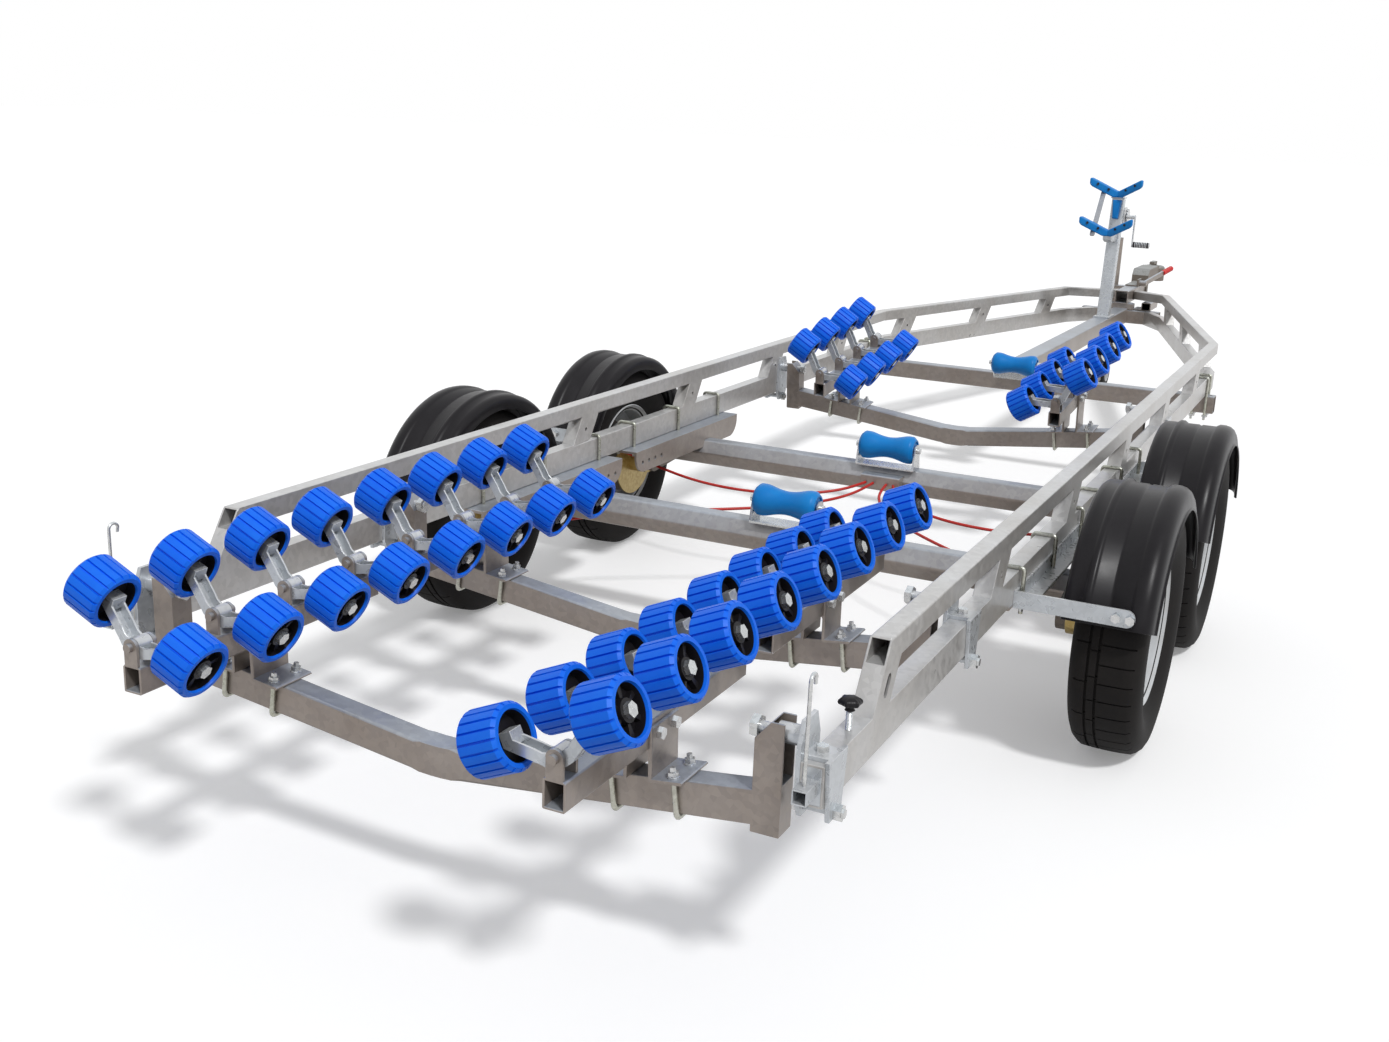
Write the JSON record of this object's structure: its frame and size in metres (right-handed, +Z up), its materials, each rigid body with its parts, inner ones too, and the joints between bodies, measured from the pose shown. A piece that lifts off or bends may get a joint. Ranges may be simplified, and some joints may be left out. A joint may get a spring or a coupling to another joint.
{
  "type": "boat trailer",
  "caption": "Galvanised boat trailer with trussed side rails, swinging roller cradles, keel rollers, a winch post with V bow blocks and an overrun coupling.",
  "frame": {"origin": "on the ground, halfway along the trailer, on its centre line", "axes": "+X forward to the coupling, +Y to the left, +Z up"},
  "size_m": [7.598, 2.096, 1.1993],
  "materials": {
    "galvanised": "dull spangled zinc",
    "tyre_rubber": "matte",
    "rim_silver": "satin",
    "roller_blue": "satin",
    "keel_blue": "satin",
    "black_plastic": "satin",
    "black_rubber": "matte",
    "cast_steel": "zinc plated",
    "cable_red": "satin"
  },
  "bodies": {
    "frame": {"axle_brackets": "galvanised", "axle_tubes": "galvanised", "bow_blocks": "keel_blue", "brake_backplates": "galvanised", "cable_front_left": "cable_red", "cable_front_right": "cable_red", "cable_rear_left": "cable_red", "cable_rear_right": "cable_red", "coupling_head": "cast_steel", "cradle_hangers": "galvanised", "crossbars": "galvanised", "drawbar": "galvanised", "handbrake_lever": "galvanised", "jockey_clamp": "galvanised", "keel_brackets": "galvanised", "light_arms": "galvanised", "mudguards": "black_plastic", "nose_trusses": "galvanised", "overrun_housing": "cast_steel", "side_trusses": "galvanised", "spine": "galvanised", "star_knobs": "black_plastic", "stays_and_hooks": "galvanised", "trailing_arms": "cast_steel", "winch_frame": "galvanised", "winch_post": "galvanised"},
    "wheel_rear_left": {"rim_rear_left": "rim_silver", "tyre_rear_left": "tyre_rubber"},
    "wheel_rear_right": {"rim_rear_right": "rim_silver", "tyre_rear_right": "tyre_rubber"},
    "wheel_front_left": {"rim_front_left": "rim_silver", "tyre_front_left": "tyre_rubber"},
    "wheel_front_right": {"rim_front_right": "rim_silver", "tyre_front_right": "tyre_rubber"},
    "swing_cradle_rear": {"cradle_rear": "galvanised", "roller_beams_rear": "galvanised"},
    "roller_bank_rear_left": {"bank_arms_rear_left": "galvanised", "bank_rollers_rear_left": "roller_blue"},
    "roller_bank_rear_right": {"bank_arms_rear_right": "galvanised", "bank_rollers_rear_right": "roller_blue"},
    "swing_cradle_mid": {"cradle_mid": "galvanised", "roller_beams_mid": "galvanised"},
    "roller_bank_mid_left": {"bank_arms_mid_left": "galvanised", "bank_rollers_mid_left": "roller_blue"},
    "roller_bank_mid_right": {"bank_arms_mid_right": "galvanised", "bank_rollers_mid_right": "roller_blue"},
    "swing_cradle_front": {"cradle_front": "galvanised", "roller_beams_front": "galvanised"},
    "roller_bank_front_left": {"bank_arms_front_left": "galvanised", "bank_rollers_front_left": "roller_blue"},
    "roller_bank_front_right": {"bank_arms_front_right": "galvanised", "bank_rollers_front_right": "roller_blue"},
    "keel_wheel_rear": {"keel_roller_rear": "keel_blue"},
    "keel_wheel_mid": {"keel_roller_mid": "keel_blue"},
    "keel_wheel_front": {"keel_roller_front": "keel_blue"},
    "jockey_leg": {"jockey_stem": "galvanised"},
    "jockey_caster": {"jockey_fork": "galvanised"},
    "jockey_wheel": {"jockey_tyre": "black_rubber", "jockey_rim": "galvanised"},
    "winch_reel": {"winch_drum": "galvanised"}
  },
  "joints": [
    {"name": "wheel_rear_left_spin", "type": "hinge", "parent": "frame", "child": "wheel_rear_left", "pos_m": [-2.016, 0.945, 0.298], "axis": [0, 1, 0], "continuous": true},
    {"name": "wheel_rear_right_spin", "type": "hinge", "parent": "frame", "child": "wheel_rear_right", "pos_m": [-2.016, -0.945, 0.298], "axis": [0, 1, 0], "continuous": true},
    {"name": "wheel_front_left_spin", "type": "hinge", "parent": "frame", "child": "wheel_front_left", "pos_m": [-1.186, 0.945, 0.298], "axis": [0, 1, 0], "continuous": true},
    {"name": "wheel_front_right_spin", "type": "hinge", "parent": "frame", "child": "wheel_front_right", "pos_m": [-1.186, -0.945, 0.298], "axis": [0, 1, 0], "continuous": true},
    {"name": "swing_cradle_rear_pivot", "type": "hinge", "parent": "frame", "child": "swing_cradle_rear", "pos_m": [-3.461, 0, 0.512], "axis": [0, 1, 0], "range_deg": [-7, 7]},
    {"name": "roller_bank_rear_left_rock", "type": "hinge", "parent": "swing_cradle_rear", "child": "roller_bank_rear_left", "pos_m": [-3.461, 0.421, 0.531], "axis": [-1, 0, 0], "range_deg": [0, 44]},
    {"name": "roller_bank_rear_right_rock", "type": "hinge", "parent": "swing_cradle_rear", "child": "roller_bank_rear_right", "pos_m": [-3.461, -0.421, 0.531], "axis": [1, 0, 0], "range_deg": [0, 44]},
    {"name": "swing_cradle_mid_pivot", "type": "hinge", "parent": "frame", "child": "swing_cradle_mid", "pos_m": [-2.701, 0, 0.512], "axis": [0, 1, 0], "range_deg": [-7, 7]},
    {"name": "roller_bank_mid_left_rock", "type": "hinge", "parent": "swing_cradle_mid", "child": "roller_bank_mid_left", "pos_m": [-2.701, 0.421, 0.531], "axis": [-1, 0, 0], "range_deg": [0, 44]},
    {"name": "roller_bank_mid_right_rock", "type": "hinge", "parent": "swing_cradle_mid", "child": "roller_bank_mid_right", "pos_m": [-2.701, -0.421, 0.531], "axis": [1, 0, 0], "range_deg": [0, 44]},
    {"name": "swing_cradle_front_pivot", "type": "hinge", "parent": "frame", "child": "swing_cradle_front", "pos_m": [-0.316, 0, 0.512], "axis": [0, 1, 0], "range_deg": [-1, 13]},
    {"name": "roller_bank_front_left_rock", "type": "hinge", "parent": "swing_cradle_front", "child": "roller_bank_front_left", "pos_m": [-0.32426, 0.421, 0.59057], "axis": [-0.9945, 0, -0.1045], "range_deg": [0, 52]},
    {"name": "roller_bank_front_right_rock", "type": "hinge", "parent": "swing_cradle_front", "child": "roller_bank_front_right", "pos_m": [-0.32426, -0.421, 0.59057], "axis": [0.9945, 0, 0.1045], "range_deg": [0, 52]},
    {"name": "keel_wheel_rear_spin", "type": "hinge", "parent": "frame", "child": "keel_wheel_rear", "pos_m": [-1.894, 0, 0.43], "axis": [0, 1, 0], "continuous": true},
    {"name": "keel_wheel_mid_spin", "type": "hinge", "parent": "frame", "child": "keel_wheel_mid", "pos_m": [-1.064, 0, 0.43], "axis": [0, 1, 0], "continuous": true},
    {"name": "keel_wheel_front_spin", "type": "hinge", "parent": "frame", "child": "keel_wheel_front", "pos_m": [0.504, 0, 0.485], "axis": [0, 1, 0], "continuous": true},
    {"name": "jockey_height", "type": "slide", "parent": "frame", "child": "jockey_leg", "axis": [0, 0, 1], "range_m": [-0.05, 0.17]},
    {"name": "jockey_swivel", "type": "hinge", "parent": "jockey_leg", "child": "jockey_caster", "pos_m": [3.089, 0.108, 0.2], "axis": [0, 0, 1], "continuous": true},
    {"name": "jockey_roll", "type": "hinge", "parent": "jockey_caster", "child": "jockey_wheel", "pos_m": [3.047, 0.108, 0.1], "axis": [0, 1, 0], "continuous": true},
    {"name": "winch_turn", "type": "hinge", "parent": "frame", "child": "winch_reel", "pos_m": [2.44814, 0, 1], "axis": [0, 1, 0], "continuous": true}
  ]
}
